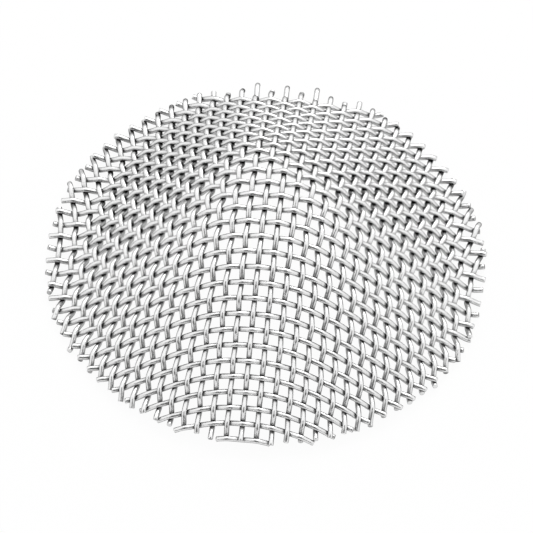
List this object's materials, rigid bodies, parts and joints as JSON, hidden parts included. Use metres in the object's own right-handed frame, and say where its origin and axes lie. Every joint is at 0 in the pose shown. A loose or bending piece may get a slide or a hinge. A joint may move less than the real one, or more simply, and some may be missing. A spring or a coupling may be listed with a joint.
{
  "type": "conical strainer",
  "caption": "Blunt cone of woven stainless wire cloth with a narrow flat rim, which catches debris in a pipe or suction port.",
  "frame": {"origin": "in the middle of the rim's round outline, level with its lowest wires; the tip stands 2 mm off it, towards +X", "axes": "+Z from the rim to the tip; one set of wires runs along X and the other along Y"},
  "size_m": [0.0602, 0.0624, 0.0206],
  "materials": {
    "stainless_wire": "bright drawn stainless wire, light lengthwise drawing lines"
  },
  "bodies": {
    "root": {"mesh_cone": "stainless_wire"}
  },
  "joints": []
}
